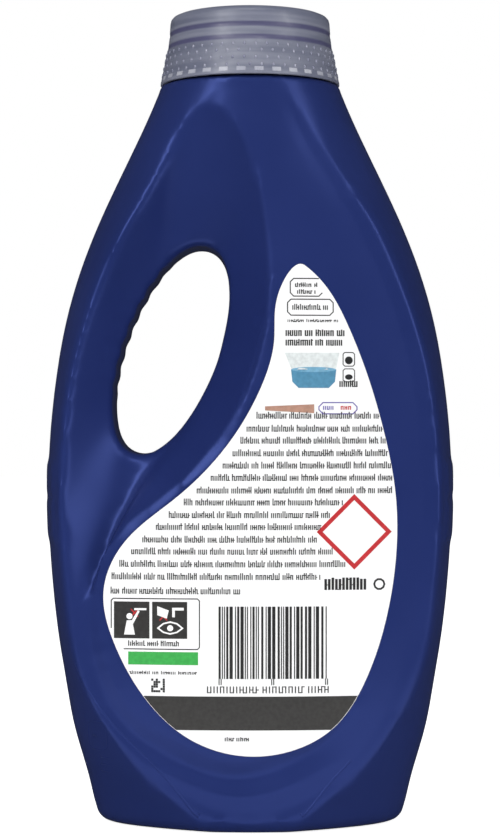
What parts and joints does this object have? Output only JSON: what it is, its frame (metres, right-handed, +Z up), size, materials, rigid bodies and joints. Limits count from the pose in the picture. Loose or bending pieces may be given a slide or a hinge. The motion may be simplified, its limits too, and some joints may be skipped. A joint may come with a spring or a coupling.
{
  "type": "laundry detergent bottle",
  "caption": "Hollow plastic bottle with a through hand hole, a pouring spout in its neck and a screw cap that doubles as a measuring cup.",
  "frame": {"origin": "middle of the foot, on the surface that the bottle stands on", "axes": "+Z up through the neck, label facing -Y, hand hole towards -X"},
  "size_m": [0.124, 0.0592, 0.245],
  "materials": {
    "blue_shell": "deep blue blow-moulded plastic with a satin gloss",
    "label_film": "white printed film label",
    "spout_plastic": "milky white injection-moulded plastic",
    "cap_plastic": "grey-blue translucent plastic with a fine matt surface"
  },
  "bodies": {
    "bottle": {"bottle": "blue_shell", "pour_spout": "spout_plastic", "back_label": "label_film"},
    "cap": {"dosing_cap": "cap_plastic"}
  },
  "joints": [
    {"name": "cap_lift", "type": "slide", "parent": "bottle", "child": "cap", "axis": [0, 0, 1], "range_m": [0, 0.05]}
  ]
}
